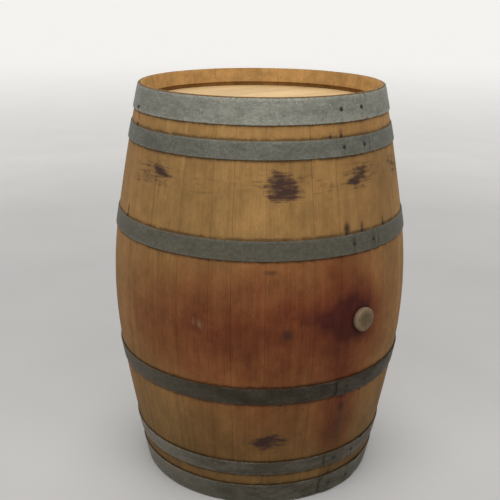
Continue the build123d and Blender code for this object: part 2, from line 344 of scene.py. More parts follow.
def make_outside_oak():
    """The outside of the staves: oak soaked with wine round the bung, marked by racks, nails and hoops, with
    painted shade beside the hoops and at the foot.
    """
    paint = Paint("oak_outside")
    grain = paint.field("grain")
    around = paint.field("around")
    light, red, blot = paint.split(paint.field("tone"))
    wine, mark, iron = paint.split(paint.field("stain"))
    scuff, seam, grime_and_shade = paint.split(paint.field("wear"))
    broad, growth, fibre, fleck, pores = oak_grain(paint, grain)

    figure = paint.add(paint.times(broad, 0.68), paint.times(growth, 0.32))
    colour = paint.ramp(figure, (0.32, OAK_DARK), (0.50, OAK), (0.68, OAK_LIGHT))
    colour = paint.vary(colour, fibre, 0.90, 1.08)
    colour = paint.mix(paint.times(fleck, 0.30), colour, OAK_FLECK)
    colour = paint.shade(colour, pores, 0.70)
    colour = paint.dim(colour, paint.span(light, 0.0, 1.0, 0.95, 1.05))
    colour = paint.mix(paint.times(red, 0.45), colour, OAK_RED)
    clouds = paint.noise(around, (7.0, 5.0, 7.0), detail=4.0, rough=0.6)
    colour = paint.vary(colour, clouds, 0.83, 1.12)
    mottle = paint.noise(around, (34.0, 22.0, 34.0), shift=(4.0, 2.0, 0.0), detail=4.0, rough=0.65)
    colour = paint.vary(colour, mottle, 0.88, 1.09)
    # The wood is darker towards the floor, partly dirt and partly painted shade, and paler by the top rim.
    height_up = paint.split(around)[1]
    colour = paint.dim(colour, paint.span(height_up, 0.10, 0.34, 0.62, 1.0))
    colour = paint.dim(colour, paint.span(height_up, 0.82, 0.90, 1.0, 1.20))

    # Wine runs along the fibres, so its edge is a little streaky up and down.
    runs = paint.noise(around, (70.0, 6.0, 70.0), detail=4.0, rough=0.6)
    pools = paint.noise(around, (18.0, 14.0, 18.0), detail=4.0, rough=0.6)
    soak = paint.add(paint.span(runs, 0.25, 0.75, 0.90, 1.06), paint.span(pools, 0.3, 0.7, -0.14, 0.14))
    soaked = paint.times(wine, soak)
    tint = paint.ramp(soaked, (0.0, (1.0, 1.0, 1.0)), (0.35, WINE_THIN), (0.65, WINE_RED), (1.0, WINE_DEEP))
    colour = paint.mix(1.0, colour, tint, "MULTIPLY")

    # Marks of racks and forks, rubbed on round the barrel, across the fibres.
    rubbed = paint.noise(around, (20.0, 150.0, 20.0), detail=4.0, rough=0.62)
    patchy = paint.noise(around, (48.0, 75.0, 48.0), shift=(5.0, 1.0, 0.0), detail=4.0, rough=0.65)
    bare = paint.add(paint.span(rubbed, 0.36, 0.62, 0.62, 0.0), paint.span(patchy, 0.36, 0.64, 0.46, 0.0))
    smear = paint.math("SUBTRACT", mark, paint.times(bare, paint.span(mark, 0.0, 0.6, 0.4, 1.0)))
    colour = paint.mix(paint.span(smear, 0.0, 0.85, 0.0, 0.62), colour, SMEAR)
    colour = paint.mix(paint.span(smear, 0.30, 1.30, 0.0, 0.84), colour, MARK_BLACK)

    seep = paint.times(iron, paint.span(fibre, 0.2, 0.8, 0.75, 1.2))
    colour = paint.mix(paint.span(seep, 0.12, 0.95, 0.0, 0.92), colour, IRON_BLACK)
    rubbings = paint.times(scuff, paint.span(runs, 0.3, 0.7, 0.3, 1.2))
    colour = paint.mix(paint.span(rubbings, 0.25, 1.0, 0.0, 0.45), colour, SCUFF)
    # Dirt beside the hoops and at the foot, with painted shade there, darkest in a painted shadow line right
    # at each hoop's edge.
    dirt = paint.noise(around, (55.0, 70.0, 55.0), detail=3.0, rough=0.65)
    dirt_and_shade = paint.times(grime_and_shade, paint.span(dirt, 0.3, 0.7, 0.35, 1.1))
    colour = paint.shade(colour, dirt_and_shade, 0.46)
    colour = paint.shade(colour, seam, 0.70)
    speck = paint.noise(around, (420.0, 300.0, 420.0), detail=2.0)
    colour = paint.dim(colour, paint.span(speck, 0.68, 0.76, 1.0, 0.72))
    colour = paint.dim(colour, paint.span(blot, 0.0, 1.0, 0.97, 1.03))

    rough = paint.add(paint.span(fibre, 0.3, 0.7, 0.60, 0.74), paint.times(fleck, -0.10),
                      paint.times(soaked, -0.06))
    height = wood_height(paint, growth, fibre, fleck, pores)
    return paint.finish(colour, rough, height, 0.45 * MM, specular=0.10)


def make_cut_oak(name, dark, light, ripple, char=0.0):
    """Oak cut by a cooper's plane inside the end of a stave, with the blade's ripples across the fibres."""
    paint = Paint(name)
    grain = paint.field("grain")
    tone = paint.split(paint.field("tone"))[0]
    broad, growth, fibre, fleck, pores = oak_grain(paint, grain)
    figure = paint.add(paint.times(broad, 0.5), paint.times(growth, 0.5))
    colour = paint.ramp(figure, (0.34, dark), (0.66, light))
    colour = paint.vary(colour, fibre, 0.84, 1.10)
    colour = paint.shade(colour, pores, 0.72)
    colour = paint.dim(colour, paint.span(tone, 0.0, 1.0, 0.95, 1.05))
    stains = paint.noise(paint.field("around"), (24.0, 36.0, 24.0), detail=4.0, rough=0.65)
    colour = paint.dim(colour, paint.span(stains, 0.35, 0.70, 1.08, 0.78))
    seam = paint.split(paint.field("wear"))[1]
    colour = paint.shade(colour, seam, 0.65)
    waves = paint.noise(grain, (9.0, 260.0, 260.0), detail=2.0)
    height = paint.add(wood_height(paint, growth, fibre, fleck, pores), paint.times(waves, ripple))
    if char:
        crackle = paint.cells(paint.stretch(grain, (90.0, 45.0, 90.0)), feature="DISTANCE_TO_EDGE")[0]
        cracks = paint.span(crackle, 0.0, 0.12, 1.0, 0.0)
        colour = paint.shade(colour, cracks, 0.4)
        height = paint.math("SUBTRACT", height, paint.times(cracks, char))
    return paint.finish(colour, paint.span(fibre, 0.3, 0.7, 0.62, 0.78), height, 0.4 * MM, specular=0.12)


def make_end_grain():
    """The sawn ends of the staves: open pores in rows, darkened by handling."""
    paint = Paint("oak_end_grain")
    grain = paint.field("grain")
    rings = paint.noise(grain, (520.0, 1.0, 90.0), detail=2.0, rough=0.6)
    pores = paint.noise(grain, (1500.0, 1.0, 1500.0), detail=2.0, rough=0.6)
    saw = paint.noise(grain, (60.0, 1.0, 900.0), detail=2.0)
    dirt = paint.noise(paint.field("around"), (30.0, 30.0, 30.0), detail=4.0, rough=0.65)
    colour = paint.ramp(rings, (0.35, END_DARK), (0.65, END_LIGHT))
    colour = paint.dim(colour, paint.span(pores, 0.52, 0.66, 1.05, 0.62))
    colour = paint.dim(colour, paint.span(dirt, 0.35, 0.7, 1.12, 0.66))
    seam = paint.split(paint.field("wear"))[1]
    colour = paint.shade(colour, seam, 0.35)
    height = paint.add(paint.times(pores, -0.7), paint.times(saw, 0.4))
    return paint.finish(colour, paint.span(pores, 0.3, 0.7, 0.68, 0.85), height, 0.4 * MM, specular=0.12)


def make_head_oak():
    """The boards of the heads: pale planed oak, its fibres along X, each board of its own tone."""
    paint = Paint("oak_head")
    place = paint.split(paint.node("ShaderNodeTexCoord").outputs["Object"])

    def own(name):
        return paint.node("ShaderNodeAttribute", attribute_type="OBJECT", attribute_name=name).outputs["Fac"]

    number = own("board")
    turned = paint.node("ShaderNodeCombineXYZ")
    paint.feed(paint.add(place[1], paint.times(number, 3.7)), turned.inputs[0])
    paint.feed(place[0], turned.inputs[1])
    paint.feed(place[2], turned.inputs[2])
    broad, growth, fibre, fleck, pores = oak_grain(paint, turned.outputs[0])
    figure = paint.add(paint.times(broad, 0.5), paint.times(growth, 0.5))
    colour = paint.ramp(figure, (0.34, HEAD_DARK), (0.50, HEAD), (0.66, HEAD_LIGHT))
    colour = paint.vary(colour, fibre, 0.90, 1.06)
    colour = paint.mix(paint.times(fleck, 0.25), colour, HEAD_LIGHT)
    colour = paint.shade(colour, pores, 0.80)
    tone = paint.math("FRACT", paint.times(number, 0.381))
    colour = paint.dim(colour, paint.span(tone, 0.0, 1.0, 0.90, 1.05))
    to_joint = paint.math("MINIMUM", paint.math("SUBTRACT", place[1], own("joint_low")),
                          paint.math("SUBTRACT", own("joint_high"), place[1]))
    colour = paint.dim(colour, paint.span(to_joint, 0.2 * MM, 1.0 * MM, 0.35, 1.0))
    clouds = paint.noise(turned.outputs[0], (9.0, 6.0, 9.0), detail=4.0, rough=0.6)
    colour = paint.dim(colour, paint.span(clouds, 0.35, 0.7, 1.04, 0.88))
    height = wood_height(paint, growth, fibre, fleck, pores)
    return paint.finish(colour, paint.span(fibre, 0.3, 0.7, 0.55, 0.70), height, 0.3 * MM, specular=0.25)


def make_hoop_steel():
    """Dull galvanised steel: spangled zinc, worn bright at the edges, browned by tannin and wine, with
    painted shade beside the end of each lap.
    """
    paint = Paint("hoop_steel")
    band = paint.field("band")
    tint = paint.field("tint")
    edge, bruise, grime_and_shade = paint.split(paint.field("wear"))
    warp = paint.noise(band, scale=60.0, detail=2.0)
    flake = paint.node("ShaderNodeCombineXYZ")
    paint.feed(paint.times(warp, 0.02), flake.inputs[0])
    moved = paint.node("ShaderNodeVectorMath", operation="ADD")
    paint.feed(band, moved.inputs[0])
    paint.feed(flake.outputs[0], moved.inputs[1])
    spangle = paint.split(paint.cells(paint.stretch(moved.outputs[0], (150.0, 190.0, 150.0)))["Color"])
    clouds = paint.noise(band, (14.0, 30.0, 14.0), detail=5.0, rough=0.65)
    fine = paint.noise(band, (300.0, 420.0, 300.0), detail=3.0, rough=0.7)
    rolled = paint.noise(band, (14.0, 900.0, 14.0), detail=3.0, rough=0.6)
    knocks = paint.noise(band, (150.0, 170.0, 150.0), shift=(2.0, 9.0, 0.0), detail=3.0, distortion=0.4)

    colour = paint.dim(tint, paint.span(clouds, 0.3, 0.7, 0.80, 1.18))
    colour = paint.dim(colour, paint.span(spangle[0], 0.0, 1.0, 0.88, 1.12))
    colour = paint.vary(colour, fine, 0.84, 1.14)
    colour = paint.vary(colour, rolled, 0.94, 1.06)
    scratches = paint.times(paint.span(knocks, 0.67, 0.74), paint.span(bruise, 0.0, 1.0, 0.25, 1.0))
    colour = paint.mix(paint.times(scratches, 0.6), colour, paint.dim(tint, 2.3))
    worn = paint.times(edge, paint.span(fine, 0.40, 0.62))
    colour = paint.mix(paint.times(worn, 0.6), colour, paint.dim(tint, 1.9))
    # The soil carries the wine and tannin, and also painted shade beside the end of each lap.
    soil = paint.times(grime_and_shade, paint.span(clouds, 0.35, 0.65, 0.55, 1.15))
    soiled = paint.mix(1.0, colour, HOOP_SOIL_AND_SHADE, "MULTIPLY")
    colour = paint.mix(paint.span(soil, 0.0, 1.0, 0.0, 0.9), colour, soiled)
    rust = paint.noise(band, (45.0, 70.0, 45.0), shift=(8.0, 3.0, 0.0), detail=5.0, rough=0.7)
    rusty = paint.times(paint.span(rust, 0.60, 0.72), paint.span(grime_and_shade, 0.0, 1.0, 0.30, 1.0))
    colour = paint.mix(paint.times(rusty, 0.55), colour, RUST)

    rough = paint.add(paint.span(clouds, 0.3, 0.7, 0.54, 0.68), paint.times(rusty, 0.15),
                      paint.times(worn, -0.08))
    metal = paint.span(paint.add(rusty, paint.times(grime_and_shade, 0.5)), 0.0, 1.2, 0.50, 0.10)
    height = paint.add(paint.times(fine, 0.5), paint.times(clouds, 0.5), paint.times(rusty, 0.3),
                       paint.times(scratches, -0.4))
    return paint.finish(colour, rough, height, 0.25 * MM, metallic=metal, specular=0.2)


def make_small_iron(name, dark, light, metallic):
    """Blackened iron of rivets or nails, pitted, with a little rust."""
    paint = Paint(name)
    place = paint.node("ShaderNodeTexCoord").outputs["Object"]
    coarse = paint.noise(place, scale=260.0, detail=4.0, rough=0.65)
    pits = paint.noise(place, scale=1400.0, detail=2.0)
    colour = paint.ramp(coarse, (0.38, dark), (0.68, light))
    colour = paint.vary(colour, pits, 0.75, 1.2)
    height = paint.add(paint.times(coarse, 0.5), paint.times(pits, 0.5))
    rough = paint.span(coarse, 0.3, 0.7, 0.45, 0.75)
    return paint.finish(colour, rough, height, 0.25 * MM, metallic=metallic)


def make_bung_wood():
    """The bung: turned soft wood, its end grain outside, worn pale at the rim with a painted highlight at its
    upper left, and wine-soaked in the hole.
    """
    paint = Paint("bung_wood")
    grain = paint.field("grain")
    rim, sunk = paint.split(paint.field("wear"))[:2]
    rings = paint.noise(grain, (310.0, 40.0, 8.0), detail=2.0, distortion=0.5)
    pith = paint.noise(grain, (1300.0, 1300.0, 1300.0), detail=3.0, rough=0.65)
    blotch = paint.noise(grain, scale=90.0, detail=4.0, rough=0.65)
    colour = paint.ramp(rings, (0.35, BUNG_DARK), (0.65, BUNG_LIGHT))
    colour = paint.vary(colour, pith, 0.82, 1.14)
    colour = paint.vary(colour, blotch, 0.86, 1.10)
    # The pale rim, with a painted highlight at its upper left.
    colour = paint.mix(paint.times(rim, paint.span(blotch, 0.35, 0.6, 0.55, 1.0)), colour, BUNG_RIM)
    wet = paint.times(sunk, paint.span(blotch, 0.3, 0.7, 0.85, 1.1))
    colour = paint.mix(paint.span(wet, 0.1, 0.9, 0.0, 0.93), colour, BUNG_WINE)
    height = paint.add(paint.times(rings, 0.3), paint.times(pith, 0.6))
    return paint.finish(colour, paint.span(pith, 0.3, 0.7, 0.62, 0.78), height, 0.3 * MM, specular=0.35)


def make_dowel_wood():
    """Pale dowels between the head boards, their fibres along Y."""
    paint = Paint("dowel_wood")
    place = paint.node("ShaderNodeTexCoord").outputs["Object"]
    fibre = paint.noise(place, (900.0, 14.0, 900.0), detail=3.0, rough=0.65)
    cloud = paint.noise(place, scale=30.0, detail=3.0)
    colour = paint.ramp(fibre, (0.35, (0.30, 0.19, 0.09)), (0.65, (0.44, 0.31, 0.17)))
    colour = paint.vary(colour, cloud, 0.88, 1.08)
    return paint.finish(colour, paint.span(fibre, 0.3, 0.7, 0.6, 0.75), fibre, 0.2 * MM)


# Colours, as linear light.
OAK_DARK = (0.225, 0.124, 0.041)
OAK = (0.262, 0.149, 0.051)
OAK_LIGHT = (0.292, 0.173, 0.063)
OAK_FLECK = (0.32, 0.20, 0.085)
OAK_RED = (0.240, 0.120, 0.040)
WINE_THIN = (0.76, 0.53, 0.52)
WINE_RED = (0.51, 0.255, 0.26)
WINE_DEEP = (0.24, 0.086, 0.16)
SMEAR = (0.085, 0.050, 0.024)
MARK_BLACK = (0.030, 0.014, 0.016)
IRON_BLACK = (0.020, 0.014, 0.011)
SCUFF = (0.34, 0.25, 0.17)
END_DARK = (0.150, 0.080, 0.030)
END_LIGHT = (0.245, 0.145, 0.062)
HEAD_DARK = (0.52, 0.335, 0.145)
HEAD = (0.60, 0.40, 0.185)
HEAD_LIGHT = (0.66, 0.46, 0.235)
HOOP_SOIL_AND_SHADE = (0.26, 0.235, 0.185)
RUST = (0.060, 0.028, 0.014)
BUNG_DARK = (0.080, 0.048, 0.018)
BUNG_LIGHT = (0.110, 0.071, 0.029)
BUNG_RIM = (0.180, 0.124, 0.070)
BUNG_WINE = (0.040, 0.010, 0.012)

STAVE_FINISHES = {
    "outside": make_outside_oak(),
    "end": make_end_grain(),
    "chime": make_cut_oak("oak_chime", (0.39, 0.212, 0.068), (0.46, 0.265, 0.095), 0.5),
    # The howel is a darker copy of the chime's oak: darker wood, and painted shade in the hollow.
    "howel": make_cut_oak("oak_howel", (0.175, 0.082, 0.022), (0.250, 0.125, 0.036), 0.3),
    "inside": make_cut_oak("oak_toasted", (0.030, 0.016, 0.009), (0.060, 0.032, 0.017), 0.2, char=1.2),
    "hole": make_cut_oak("oak_bung_hole", (0.030, 0.011, 0.010), (0.058, 0.022, 0.017), 0.1),
}
PARTS = list(STAVE_FINISHES)

# ---- Stains, each as phi, z, half-width in degrees, half-height in metres, and strength ----
WINE = (
    (-36.7, 0.470, 40.0, 0.130, 0.46),     # the whole belly in front
    (-24.0, 0.490, 18.0, 0.110, 0.13),
    (-5.0, 0.474, 8.0, 0.036, 0.62),       # round the bung, and to its left
    (-15.0, 0.497, 11.0, 0.022, 0.24),
    (-2.0, 0.500, 7.0, 0.050, 0.20),
    (1.3, 0.430, 12.0, 0.070, 0.14),
    (-8.7, 0.590, 7.0, 0.060, 0.22),
    (-8.7, 0.370, 8.0, 0.070, 0.17),
    (-28.7, 0.210, 26.0, 0.130, 0.22),     # what ran down below the lower bilge hoop
    (-5.5, 0.190, 6.0, 0.120, 0.44),
    (-68.7, 0.440, 22.0, 0.080, 0.22),
    (151.3, 0.400, 30.0, 0.120, 0.25),     # on the side away from the photo
    (96.3, 0.520, 18.0, 0.090, 0.16),
)
MARKS = (
    (-33.0, 0.783, 5.4, 0.018, 0.90),
    (-32.0, 0.776, 9.0, 0.027, 0.34),
    (-28.6, 0.757, 2.8, 0.008, 0.85),
    (-35.0, 0.748, 2.6, 0.009, 0.72),
    (-34.0, 0.186, 6.0, 0.018, 1.12),
    (-35.5, 0.180, 9.5, 0.028, 0.56),
    (-38.2, 0.174, 2.4, 0.007, 0.60),
    (3.2, 0.792, 3.2, 0.012, 0.60),
    (1.8, 0.786, 8.0, 0.024, 0.46),
    (-1.7, 0.772, 2.4, 0.009, 0.75),
    (-83.7, 0.792, 2.4, 0.009, 0.78),
    (-80.7, 0.783, 2.2, 0.007, 0.80),
    (-83.2, 0.784, 8.0, 0.024, 0.42),
    (25.3, 0.795, 4.0, 0.014, 0.80),
    (31.3, 0.775, 4.0, 0.014, 0.70),
    (-5.2, 0.168, 2.6, 0.014, 1.00),
    (-4.6, 0.205, 3.0, 0.018, 0.86),
    (-4.2, 0.245, 2.6, 0.014, 0.90),
    (-5.5, 0.115, 2.4, 0.014, 0.80),
    (96.3, 0.788, 5.0, 0.014, 1.05),       # on the side away from the photo
    (99.3, 0.776, 8.0, 0.022, 0.50),
    (93.3, 0.186, 5.0, 0.015, 1.00),
    (159.3, 0.786, 4.5, 0.013, 1.10),
    (161.3, 0.182, 6.0, 0.020, 0.80),
    (-140.7, 0.782, 5.0, 0.015, 1.05),
    (-144.7, 0.180, 4.5, 0.014, 0.95),
)
IRON = (
    (-29.8, 0.458, 2.2, 0.014, 0.70),      # a knot
    (-35.9, 0.597, 2.6, 0.005, 0.62),
    (-6.6, 0.676, 1.1, 0.010, 0.80),       # above the nails of the upper bilge hoop
    (-5.6, 0.722, 1.9, 0.040, 0.34),
    (0.8, 0.675, 0.8, 0.010, 0.75),
    (13.6, 0.674, 0.6, 0.011, 0.75),
    (-6.3, 0.874, 0.8, 0.009, 0.65),
    (-11.3, 0.872, 0.8, 0.006, 0.55),
    (-5.1, 0.252, 1.5, 0.012, 0.60),       # drips below the nails of the lower hoops
    (-5.0, 0.190, 1.6, 0.040, 0.36),
    (4.1, 0.262, 0.8, 0.016, 0.55),
    (-4.9, 0.062, 1.2, 0.012, 0.60),
    (-104.7, 0.884, 0.7, 0.007, 0.70),
    (-101.5, 0.680, 0.7, 0.012, 0.80),
    (85.3, 0.680, 0.9, 0.012, 0.90),
    (85.3, 0.874, 0.7, 0.006, 0.60),
    (173.3, 0.680, 0.9, 0.012, 0.85),
    (173.3, 0.250, 1.0, 0.020, 0.70),
    (-126.7, 0.250, 1.0, 0.022, 0.75),
)
SCUFFS = (
    (-28.2, 0.575, 0.5, 0.010, 1.10),
    (-63.0, 0.480, 5.0, 0.009, 0.62),
    (-58.0, 0.468, 4.0, 0.007, 0.55),
    (24.0, 0.457, 4.0, 0.007, 0.66),
    (28.0, 0.464, 3.0, 0.005, 0.55),
    (119.3, 0.500, 7.0, 0.005, 0.80),
    (-148.7, 0.480, 6.0, 0.006, 0.80),
)
# The z, half-height and strength of the smear along the upper quarter, and the waves that break it up.
SMEAR_BAND = (0.768, 0.028, 0.46)
BAND_BREAKS = ((11.0, 0.4), (23.0, 1.7), (5.0, 2.6))
WINE_TOP = 0.640                # the upper bilge hoop, which the wine doesn't pass
STAIN_EDGE = 1.15               # a stain's edge is a little firmer than a bell curve's
GRIME_AND_SHADE_REACH = 7 * MM            # reach of the dirt and painted shade beside a hoop
HOOP_SHADE = 2.5 * MM           # reach of the darkest dirt and painted shadow, right beside a hoop


def strength(stains, phi, z):
    """The sum of the stains at phi and z."""
    total = np.zeros_like(phi)
    for stain_phi, stain_z, wide, tall, most in stains:
        aside = turned_from(phi, stain_phi) / wide
        above = (z - stain_z) / tall
        total += most * np.exp(-0.5 * (aside**2 + above**2) ** STAIN_EDGE)
    return total


def make_fields(points, centre_phi, half_turn, outer_radius, tone, shift):
    """What the wood's materials read at each point of a stave: its grain, tone, stains, wear, and painted
    shade beside the hoops and at the foot.
    """
    x, y, z = points.T
    radius = np.hypot(x, y)
    phi = np.degrees(np.arctan2(x, -y))
    aside = turned_from(phi, centre_phi)
    through_wood = outer_radius(z) - radius
    across = np.radians(aside) * outer_radius(z)
    outside = smoothstep(4 * MM, 2 * MM, through_wood)

    wine = strength(WINE, phi, z) * smoothstep(0.06, 0.20, z)
    wine = wine * (1 - smoothstep(WINE_TOP - 0.02, WINE_TOP + 0.01, z))
    smear_z, smear_tall, smear_strength = SMEAR_BAND
    breaks = sum(np.sin(rate * np.radians(phi) + start) for rate, start in BAND_BREAKS) / len(BAND_BREAKS)
    band = smear_strength * (1 + 0.6 * breaks) * np.exp(-0.5 * ((z - smear_z) / smear_tall) ** 2)
    mark = strength(MARKS, phi, z) + band
    edge_gap = (half_turn - np.abs(aside)) * np.radians(1) * radius
    seam = smoothstep(0.7 * MM, 0.1 * MM, edge_gap)
    # Dirt and painted shade beside each hoop, with a narrow painted shadow line right at its edge, and at the
    # foot of the barrel.
    grime_and_shade = np.zeros_like(z)
    for low, high in HOOP_SPANS:
        gap = np.maximum(np.maximum(low - z, z - high), 0)
        grime_and_shade = np.maximum(grime_and_shade, 0.8 * bell(gap / GRIME_AND_SHADE_REACH) + 0.9 * bell(gap / HOOP_SHADE))
    grime_and_shade = np.maximum(grime_and_shade, smoothstep(0.05, 0.0, z))
    return {
        "grain": np.column_stack([across + shift, z, through_wood]),
        "around": np.column_stack([np.radians(phi) * 0.34, z, through_wood]),
        "tone": np.tile(tone, (len(z), 1)),
        "stain": np.column_stack([wine, mark, strength(IRON, phi, z)]) * outside[:, None],
        "wear": np.column_stack([strength(SCUFFS, phi, z) * outside, seam, grime_and_shade * outside]),
    }


# ---- Staves ----
def side_outline(node):
    """The outline of a CAD stave's side face as (radius, z), up its outer face from the foot."""
    radius, phi, z = cad_polar(node)
    side = phi < phi.min() + 0.01
    place = [(round(r, 5), round(h, 5)) for r, h in zip(radius, z)]
    uses = {}
    for polygon in nodes[node].data.polygons:
        corners = list(polygon.vertices)
        if not all(side[i] for i in corners):
            continue
        for a, b in zip(corners, corners[1:] + corners[:1]):
            edge = frozenset((place[a], place[b]))
            uses[edge] = uses.get(edge, 0) + 1
    links = {}
    for edge, count in uses.items():
        if count == 1 and len(edge) == 2:
            a, b = edge
            links.setdefault(a, []).append(b)
            links.setdefault(b, []).append(a)
    foot = min(links, key=lambda p: (p[1], -p[0]))
    outline = [foot, max(links[foot], key=lambda p: p[1])]
    while len(outline) < len(links):
        outline.append(next(p for p in links[outline[-1]] if p != outline[-2]))
    return outline


def ease_corners(corners, size):
    """The line with each of its inner corners rounded a little."""
    eased = [corners[0]]
    for before, corner, after in zip(corners, corners[1:], corners[2:]):
        before, corner, after = np.array(before), np.array(corner), np.array(after)
        come = (before - corner) * min(0.3, size / np.linalg.norm(before - corner))
        leave = (after - corner) * min(0.3, size / np.linalg.norm(after - corner))
        eased += [corner + come, corner + (come + leave) / 4, corner + leave]
    return [tuple(p) for p in eased + [corners[-1]]]


def divide(line, step):
    """The line with points added so that none are further apart than a step."""
    divided = [line[0]]
    for a, b in zip(line, line[1:]):
        a, b = np.array(a), np.array(b)
        count = max(1, math.ceil(np.linalg.norm(b - a) / step))
        divided += [tuple(a + (b - a) * k / count) for k in range(1, count + 1)]
    return divided


class Section:
    """The long section of the staves, read from a CAD stave."""

    def __init__(self, node):
        outline = side_outline(node)
        top = next(i for i, p in enumerate(outline) if p[1] > HEIGHT - TOUCH)
        outer = np.array(outline[:top + 1])
        rest = outline[top:]
        turn = next(i for i, p in enumerate(rest) if HEIGHT - p[1] > HOWEL_DEPTH - TOUCH)
        last = next(i for i, p in enumerate(rest) if p[1] < HOWEL_DEPTH + TOUCH)
        inner = np.array(rest[turn:last + 1])[::-1]
        self.end = [tuple(p) for p in rest[:turn + 1]]
        self.outer_radius = lambda z: through(outer[:, 1], outer[:, 0], np.asarray(z, float))
        self.inner_radius = lambda z: through(inner[:, 1], inner[:, 0], np.asarray(z, float))

    def rows(self, inner_step):
        """The section's closed ring of (radius, z), and the part of the stave at each of its points."""
        outer_z = np.arange(MIDDLE, HEIGHT - CORNER, ROW_STEP)
        inner_z = np.arange(MIDDLE, HEIGHT - HOWEL_DEPTH - CORNER, inner_step)[::-1]
        corner_start = (float(self.outer_radius(HEIGHT - CORNER)), HEIGHT - CORNER)
        end = divide(ease_corners([corner_start, *self.end], END_EASE), END_ROW_STEP)
        half = [(float(self.outer_radius(z)), z, "outside") for z in outer_z]
        half += [(r, z, self.part_at(r, z)) for r, z in end]
        half += [(float(self.inner_radius(z)), z, "inside") for z in inner_z]
        mirrored = [(r, HEIGHT - z, part) for r, z, part in half[::-1]]
        ring = half + mirrored[1:-1]
        return np.array([p[:2] for p in ring]), [p[2] for p in ring]

    def part_at(self, r, z):
        """Which part of a stave a point of its end belongs to."""
        depth = HEIGHT - z
        if depth < 0.02 * MM:
            return "end"
        if self.outer_radius(z) - r < 1.5 * MM:
            return "outside"
        return "chime" if depth < CHIME_DEPTH else "howel"


def part_of_row(parts, i):
    """The part of the faces between a row and the next: the later in PARTS, and the end only if both are."""
    following = parts[(i + 1) % len(parts)]
    return max(parts[i], following, key=lambda part: (part != "end", PARTS.index(part)))


def inward_normals(ring):
    """At each point of a closed ring, the direction into the wood."""
    along = np.roll(ring, -1, 0) - np.roll(ring, 1, 0)
    along /= np.linalg.norm(along, axis=1)[:, None]
    return np.column_stack([-along[:, 1], along[:, 0]])


def stave_columns(start, end, bilge_radius):
    """The phi of each column of a stave, and how far its edges are eased there."""
    width = np.radians(end - start) * bilge_radius
    edge = [SEAM_GAP + e for e in SEAM_EDGE]
    count = math.ceil((width - 2 * edge[-1]) / COLUMN_STEP)
    between = list(np.linspace(edge[-1], width - edge[-1], count + 1))
    across = np.array(edge[:-1] + between + [width - e for e in edge[-2::-1]])
    from_edge = np.minimum(across, width - across) - SEAM_GAP
    easing = SEAM_DEPTH * np.clip(1 - from_edge / SEAM_EDGE[-1], 0, 1) ** 2
    return start + np.degrees(across / bilge_radius), easing


def make_stave(node, section):
    """A stave that replaces its CAD node, with eased edges, a little out of line and with its own tone."""
    phis = cad_polar(node)[1]
    start, end = phis.min(), phis.max()
    bored = node == "bung_stave"
    ring, parts = section.rows(ROW_STEP if bored else INNER_ROW_STEP)
    normals = inward_normals(ring)
    columns, easing = stave_columns(start, end, section.outer_radius(MIDDLE))
    step, tilt, wave, shift = dice.random(4)
    short = END_STEP * dice.random(2)
    tone = dice.random(3)
    phase = 2 * math.pi * dice.random(2)
    if bored:
        step = tilt = wave = 0.0

    radius = ring[:, :1] + normals[:, :1] * easing
    z = ring[:, 1:] + normals[:, 1:] * easing
    aside = np.linspace(-1, 1, len(columns))
    sway = np.sin(9 * z + phase[0]) * np.cos(2.5 * aside + phase[1])
    radius = radius - STAVE_STEP * step - STAVE_TILT * tilt * (1 + aside) - STAVE_WAVE * wave * (1 + sway)
    z = z - short[0] * smoothstep(HEIGHT - 0.1, HEIGHT, z) + short[1] * smoothstep(0.1, 0.0, z)
    x, y = on_circle(radius, columns)
    points = np.column_stack([x.ravel(), y.ravel(), z.ravel()])

    rows, width = len(ring), len(columns)
    faces = grid_faces(rows, width, closed=True)
    finish_of_face = [PARTS.index(part_of_row(parts, i)) for i in range(rows) for _ in range(width - 1)]
    if bored:
        points, faces, finish_of_face = bore(points, faces, finish_of_face, ring, parts, columns, section)
    sides = [[i * width for i in range(rows)][::-1], [i * width + width - 1 for i in range(rows)]]
    faces += sides
    finish_of_face += [PARTS.index("howel")] * len(sides)
    fields = make_fields(points, (start + end) / 2, (end - start) / 2, section.outer_radius, tone, 7 * shift)
    return make_piece("oak_" + node, points, faces, STAVE_FINISHES.values(), finish_of_face, fields,
                      "barrel", [node])


def hole_radius(y):
    """Radius of the bung hole at a y, from the CAD bung and the room round it."""
    return BUNG_MOUTH + (-y - BILGE) * BUNG_TAPER


